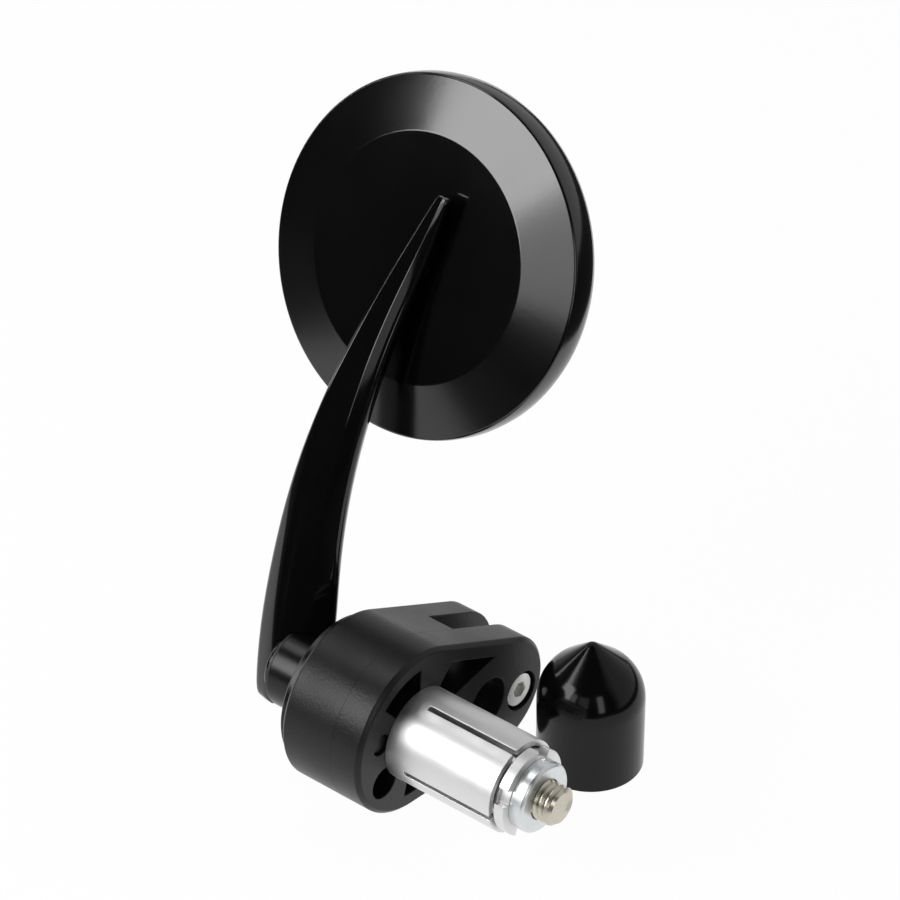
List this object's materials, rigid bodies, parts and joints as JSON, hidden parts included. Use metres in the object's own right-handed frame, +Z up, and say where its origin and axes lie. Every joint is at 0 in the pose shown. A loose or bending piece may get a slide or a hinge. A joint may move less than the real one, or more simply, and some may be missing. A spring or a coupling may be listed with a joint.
{
  "type": "bar end mirror",
  "caption": "Round motorcycle mirror on a bowed, twisted arm, clamped to the end of a handlebar by a slotted expanding insert.",
  "frame": {"origin": "on the handlebar's axis, at the face of the clamp body that meets the end of the bar", "axes": "+X along the bar's axis, into the bar; +Z up, with the arm and the head leaning back about X as in the picture"},
  "size_m": [0.0997, 0.0766, 0.1247],
  "materials": {
    "body_plastic": "satin, fine moulded grain",
    "pin_plastic": "satin",
    "stainless": "bright",
    "zinc_steel": "zinc plated",
    "gloss_black": "gloss",
    "satin_black": "satin disc, gloss bevel and rim",
    "bright_alloy": "turned, bright",
    "nylon": "satin",
    "foam": "matt foam tape",
    "mirror": "silvered glass",
    "vinyl": "dip-moulded gloss"
  },
  "bodies": {
    "base": {"inner_half": "body_plastic", "outer_half": "body_plastic", "locating_pins": "pin_plastic", "lug_screw": "stainless", "lug_nut": "zinc_steel", "pivot_post": "gloss_black", "swivel_screw": "zinc_steel", "friction_washer": "pin_plastic", "expander_sleeve": "bright_alloy", "insert_cap": "vinyl"},
    "bolt": {"main_bolt": "zinc_steel", "bolt_washer": "zinc_steel"},
    "cone": {"expander_cone": "bright_alloy", "cone_nut": "zinc_steel"},
    "arm": {"arm": "gloss_black", "ball_stud": "gloss_black"},
    "seat": {"ball_seat": "nylon"},
    "head": {"head_shell": "satin_black", "socket_plate": "zinc_steel", "plate_screws": "zinc_steel", "foam_pad": "foam", "mirror_glass": "mirror"}
  },
  "joints": [
    {"name": "arm_swivel", "type": "hinge", "parent": "base", "child": "arm", "pos_m": [-0.0325, 0, 0], "axis": [1, 0, 0], "continuous": true},
    {"name": "head_pan", "type": "hinge", "parent": "arm", "child": "seat", "pos_m": [-0.0298, 0.04043, 0.07246], "axis": [0, 0.3907, 0.9205], "range_deg": [-7, 7]},
    {"name": "head_tilt", "type": "hinge", "parent": "seat", "child": "head", "pos_m": [-0.0298, 0.04043, 0.07246], "axis": [1, 0, 0], "range_deg": [-7, 7]},
    {"name": "bolt_turn", "type": "hinge", "parent": "base", "child": "bolt", "pos_m": [0, 0, 0], "axis": [-1, 0, 0], "range_deg": [0, 720]},
    {"name": "cone_travel", "type": "slide", "parent": "base", "child": "cone", "axis": [1, 0, 0], "range_m": [0, 0.0026]}
  ],
  "couplings": [
    {"joint": "cone_travel", "follows": "bolt_turn", "m_per_rad": 0.00019894}
  ]
}
